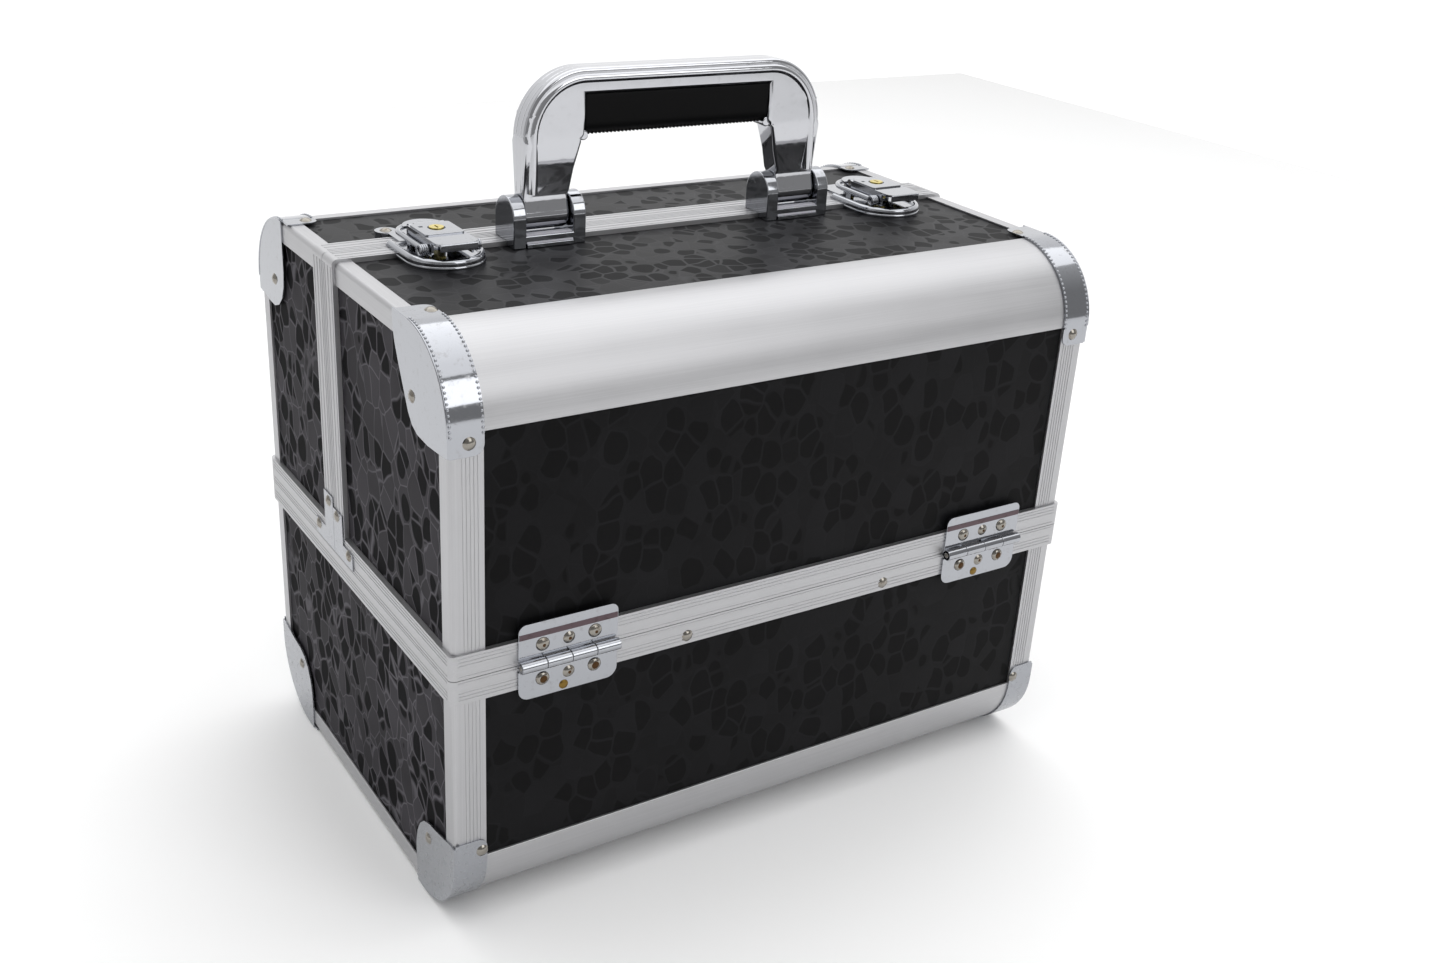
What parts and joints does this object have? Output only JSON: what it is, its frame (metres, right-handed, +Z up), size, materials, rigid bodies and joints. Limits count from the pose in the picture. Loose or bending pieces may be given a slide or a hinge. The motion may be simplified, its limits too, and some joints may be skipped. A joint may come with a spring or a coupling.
{
  "type": "makeup train case",
  "caption": "Aluminium-framed makeup train case with two top lids that swing apart, cantilever trays, keyed draw latches and a folding handle.",
  "frame": {"origin": "middle of the footprint on the floor", "axes": "+X along the length, -Y the front, +Z up"},
  "size_m": [0.3702, 0.2566, 0.3794],
  "materials": {
    "laminate": "dark textured decorative laminate on board",
    "satin_aluminium": "satin anodised extrusion",
    "polished_steel": "polished nickel-chrome plated steel",
    "polished_aluminium": "polished bar",
    "rivet_steel": "plated rivets and pins",
    "handle_plating": "chrome-plated moulded frame",
    "grip_plastic": "black moulded grip",
    "lock_brass": "brass lock plug",
    "felt": "black felt lining",
    "tray_plastic": "black flocked moulded trays"
  },
  "bodies": {
    "base": {"base_front_panel": "laminate", "base_rear_panel": "laminate", "base_end_panels": "laminate", "base_bottom_panel": "laminate", "base_rim": "satin_aluminium", "base_corner_posts": "satin_aluminium", "base_edge_bars": "polished_aluminium", "base_end_angles": "satin_aluminium", "base_corner_caps": "polished_steel", "base_rivets": "rivet_steel", "base_lining": "felt", "base_hinge_leaves": "polished_steel", "hinge_pins": "rivet_steel", "arm_pivots": "rivet_steel"},
    "front_lid": {"front_lid_front_panel": "laminate", "front_lid_top_panel": "laminate", "front_lid_end_panels": "laminate", "front_lid_edge_bar": "polished_aluminium", "front_lid_corner_posts": "satin_aluminium", "front_lid_top_angles": "satin_aluminium", "front_lid_rim": "satin_aluminium", "front_lid_seam_rim": "satin_aluminium", "front_lid_corner_caps": "polished_steel", "front_lid_seam_plates": "polished_steel", "front_lid_rivets": "rivet_steel", "front_lid_hinge_leaves": "polished_steel", "front_tray_pivots": "rivet_steel", "handle_brackets": "polished_steel", "handle_pins": "rivet_steel", "left_latch_base": "polished_steel", "right_latch_base": "polished_steel", "latch_lever_pins": "rivet_steel"},
    "rear_lid": {"rear_lid_rear_panel": "laminate", "rear_lid_top_panel": "laminate", "rear_lid_end_panels": "laminate", "rear_lid_edge_bar": "polished_aluminium", "rear_lid_corner_posts": "satin_aluminium", "rear_lid_top_angles": "satin_aluminium", "rear_lid_rim": "satin_aluminium", "rear_lid_seam_rim": "satin_aluminium", "rear_lid_corner_caps": "polished_steel", "rear_lid_seam_plates": "polished_steel", "rear_lid_rivets": "rivet_steel", "rear_lid_hinge_leaves": "polished_steel", "rear_tray_pivots": "rivet_steel", "latch_keepers": "polished_steel"},
    "handle": {"handle_frame": "handle_plating", "handle_grip": "grip_plastic"},
    "left_lever": {"left_latch_lever": "polished_steel"},
    "left_bail": {"left_latch_bail": "rivet_steel"},
    "left_lock": {"left_lock_cylinder": "lock_brass"},
    "right_lever": {"right_latch_lever": "polished_steel"},
    "right_bail": {"right_latch_bail": "rivet_steel"},
    "right_lock": {"right_lock_cylinder": "lock_brass"},
    "front_lower": {"front_lower_tray": "tray_plastic"},
    "front_upper": {"front_upper_tray": "tray_plastic"},
    "rear_lower": {"rear_lower_tray": "tray_plastic"},
    "rear_upper": {"rear_upper_tray": "tray_plastic"},
    "front_arms": {"front_tray_arms": "satin_aluminium"},
    "rear_arms": {"rear_tray_arms": "satin_aluminium"}
  },
  "joints": [
    {"name": "front_lid_hinge", "type": "hinge", "parent": "base", "child": "front_lid", "pos_m": [0, -0.1255, 0.14], "axis": [1, 0, 0], "range_deg": [0, 90]},
    {"name": "rear_lid_hinge", "type": "hinge", "parent": "base", "child": "rear_lid", "pos_m": [0, 0.1255, 0.14], "axis": [-1, 0, 0], "range_deg": [0, 90]},
    {"name": "front_lower_tray_pivot", "type": "hinge", "parent": "front_lid", "child": "front_lower", "pos_m": [0, -0.1005, 0.165], "axis": [1, 0, 0], "range_deg": [-90, 0]},
    {"name": "front_upper_tray_pivot", "type": "hinge", "parent": "front_lid", "child": "front_upper", "pos_m": [0, -0.0605, 0.205], "axis": [1, 0, 0], "range_deg": [-90, 0]},
    {"name": "front_arm_pivot", "type": "hinge", "parent": "base", "child": "front_arms", "pos_m": [0, -0.0655, 0.132], "axis": [1, 0, 0], "range_deg": [0, 90]},
    {"name": "rear_lower_tray_pivot", "type": "hinge", "parent": "rear_lid", "child": "rear_lower", "pos_m": [0, 0.1005, 0.165], "axis": [-1, 0, 0], "range_deg": [-90, 0]},
    {"name": "rear_upper_tray_pivot", "type": "hinge", "parent": "rear_lid", "child": "rear_upper", "pos_m": [0, 0.0605, 0.205], "axis": [-1, 0, 0], "range_deg": [-90, 0]},
    {"name": "rear_arm_pivot", "type": "hinge", "parent": "base", "child": "rear_arms", "pos_m": [0, 0.0955, 0.132], "axis": [-1, 0, 0], "range_deg": [0, 90]},
    {"name": "handle_pivot", "type": "hinge", "parent": "front_lid", "child": "handle", "pos_m": [0, 0.009, 0.3084], "axis": [1, 0, 0], "range_deg": [0, 88]},
    {"name": "left_lever_pivot", "type": "hinge", "parent": "front_lid", "child": "left_lever", "pos_m": [-0.132, 0.0165, 0.3053], "axis": [-1, 0, 0], "range_deg": [0, 90]},
    {"name": "left_bail_pivot", "type": "hinge", "parent": "left_lever", "child": "left_bail", "pos_m": [-0.132, -0.011, 0.3026], "axis": [-1, 0, 0], "range_deg": [-54, 0]},
    {"name": "left_lock_turn", "type": "hinge", "parent": "left_lever", "child": "left_lock", "pos_m": [-0.132, 0.004, 0.3045], "axis": [0, 0, 1], "range_deg": [0, 90]},
    {"name": "right_lever_pivot", "type": "hinge", "parent": "front_lid", "child": "right_lever", "pos_m": [0.132, 0.0165, 0.3053], "axis": [-1, 0, 0], "range_deg": [0, 90]},
    {"name": "right_bail_pivot", "type": "hinge", "parent": "right_lever", "child": "right_bail", "pos_m": [0.132, -0.011, 0.3026], "axis": [-1, 0, 0], "range_deg": [-54, 0]},
    {"name": "right_lock_turn", "type": "hinge", "parent": "right_lever", "child": "right_lock", "pos_m": [0.132, 0.004, 0.3045], "axis": [0, 0, 1], "range_deg": [0, 90]}
  ],
  "couplings": [
    {"joint": "front_lower_tray_pivot", "follows": "front_lid_hinge", "ratio": -1},
    {"joint": "front_upper_tray_pivot", "follows": "front_lid_hinge", "ratio": -1},
    {"joint": "front_arm_pivot", "follows": "front_lid_hinge", "ratio": 1},
    {"joint": "rear_lower_tray_pivot", "follows": "rear_lid_hinge", "ratio": -1},
    {"joint": "rear_upper_tray_pivot", "follows": "rear_lid_hinge", "ratio": -1},
    {"joint": "rear_arm_pivot", "follows": "rear_lid_hinge", "ratio": 1},
    {"joint": "left_bail_pivot", "follows": "left_lever_pivot", "ratio": -0.6},
    {"joint": "right_bail_pivot", "follows": "right_lever_pivot", "ratio": -0.6}
  ]
}
